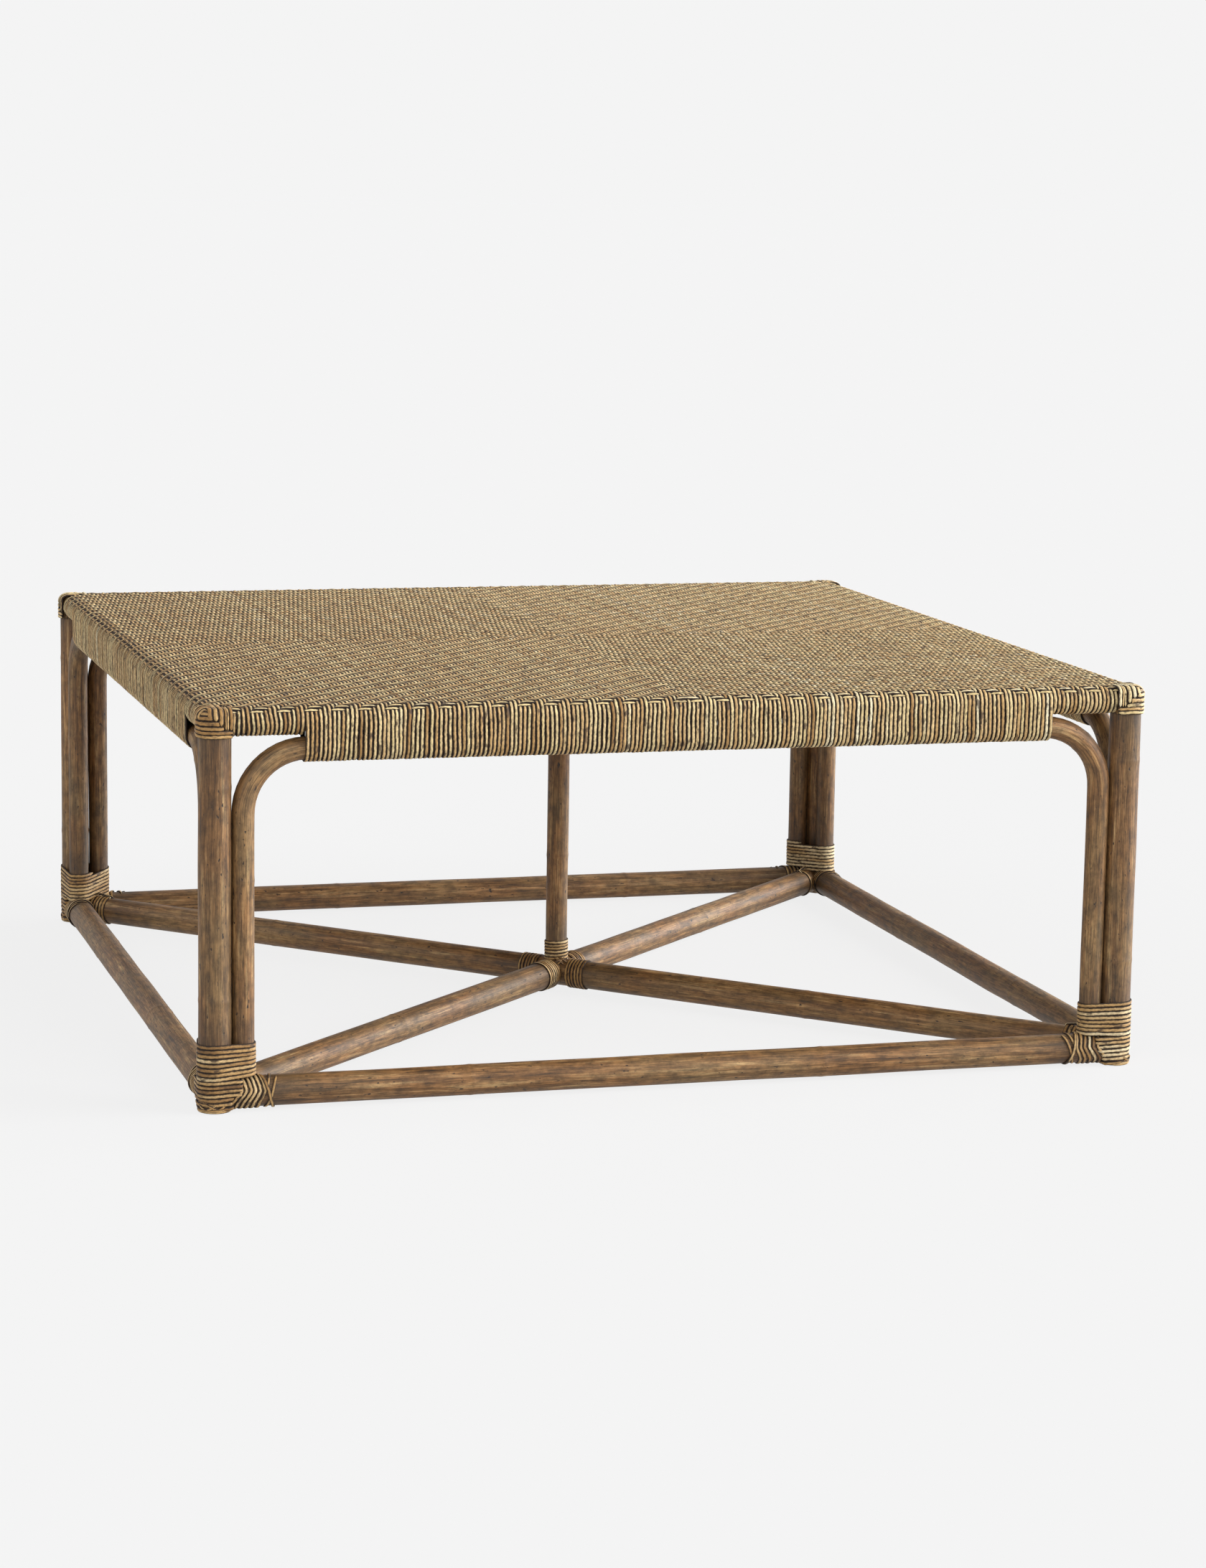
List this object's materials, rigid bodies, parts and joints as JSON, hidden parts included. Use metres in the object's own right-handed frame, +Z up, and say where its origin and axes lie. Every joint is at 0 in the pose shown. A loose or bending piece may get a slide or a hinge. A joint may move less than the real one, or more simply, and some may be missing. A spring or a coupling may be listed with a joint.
{
  "type": "coffee table",
  "caption": "Square rattan coffee table with a twill woven top, arched pole sides and a low crossed stretcher frame tied with cane.",
  "frame": {"origin": "on the floor below the middle of the table top", "axes": "+Z up; +X along the front, to the right; +Y to the back"},
  "size_m": [1.067, 1.067, 0.432],
  "materials": {
    "pole": "grey-brown stained rattan pole with a satin lacquer",
    "cane": "straw coloured cane peel with dark rubbed grooves",
    "weave": "straw coloured woven rattan core with dark rubbed grooves",
    "board": "raw plywood, hidden under the weave"
  },
  "bodies": {
    "root": {"leg_front_left": "pole", "foot_lashing_front_left": "cane", "foot_binding_front_left": "cane", "corner_cap_front_left": "weave", "leg_front_right": "pole", "foot_lashing_front_right": "cane", "foot_binding_front_right": "cane", "corner_cap_front_right": "weave", "leg_back_right": "pole", "foot_lashing_back_right": "cane", "foot_binding_back_right": "cane", "corner_cap_back_right": "weave", "leg_back_left": "pole", "foot_lashing_back_left": "cane", "foot_binding_back_left": "cane", "corner_cap_back_left": "weave", "stretcher_front": "pole", "arch_front": "pole", "rail_front": "pole", "apron_front": "weave", "stretcher_binding_front_left": "cane", "stretcher_binding_front_right": "cane", "stretcher_right": "pole", "arch_right": "pole", "rail_right": "pole", "apron_right": "weave", "stretcher_binding_right_front": "cane", "stretcher_binding_right_back": "cane", "stretcher_back": "pole", "arch_back": "pole", "rail_back": "pole", "apron_back": "weave", "stretcher_binding_back_right": "cane", "stretcher_binding_back_left": "cane", "stretcher_left": "pole", "arch_left": "pole", "rail_left": "pole", "apron_left": "weave", "stretcher_binding_left_back": "cane", "stretcher_binding_left_front": "cane", "diagonal_through": "pole", "diagonal_half_front": "pole", "diagonal_half_back": "pole", "centre_post": "pole", "post_binding": "cane", "arm_binding_front_left": "cane", "arm_binding_front_right": "cane", "arm_binding_back_right": "cane", "arm_binding_back_left": "cane", "woven_top": "weave", "deck": "board", "cross_rail_long": "pole", "cross_rail_front": "pole", "cross_rail_back": "pole"}
  },
  "joints": []
}
